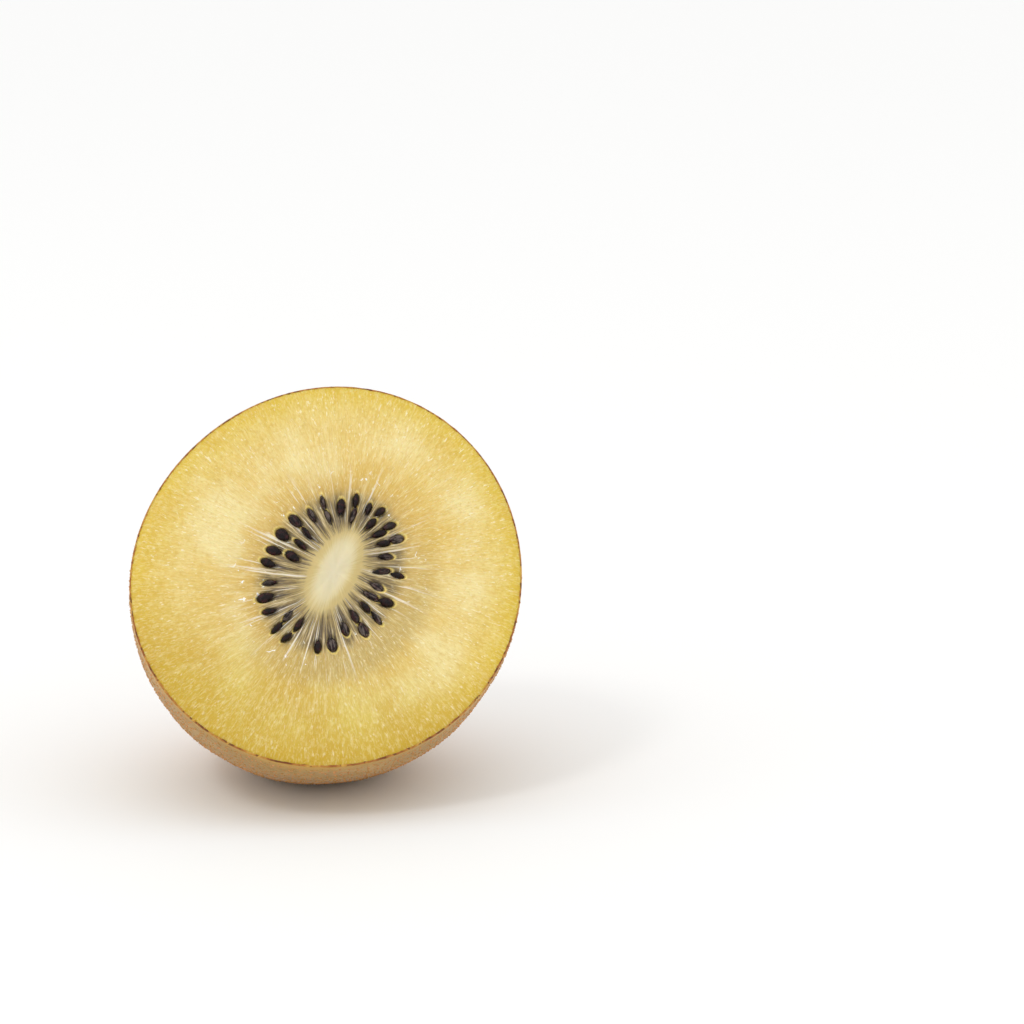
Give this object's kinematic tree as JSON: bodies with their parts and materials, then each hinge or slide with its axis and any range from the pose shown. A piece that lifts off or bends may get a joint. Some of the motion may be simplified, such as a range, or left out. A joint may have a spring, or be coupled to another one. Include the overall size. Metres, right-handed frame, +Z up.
{
  "type": "golden kiwi fruit half",
  "caption": "Half of a golden kiwi fruit cut across its middle, lying on its round back with the cut face leaning up: yellow flesh, pale core, ring of dark seeds, thin brown peel.",
  "frame": {"origin": "on the level surface that the half lies on, under the middle of its box", "axes": "+Z up, -Y towards the side that the cut face looks to, +X to the right when facing the cut face"},
  "size_m": [0.0522, 0.05, 0.0526],
  "materials": {
    "flesh": "moist golden yellow flesh, paler towards the core, with fine pale fibres",
    "peel": "thin olive brown peel with many small tan bumps and a short fuzz",
    "seed": "wet brown-black seeds",
    "dried_style": "dry dark brown threads"
  },
  "bodies": {
    "root": {"kiwi_half": "flesh"}
  },
  "joints": []
}
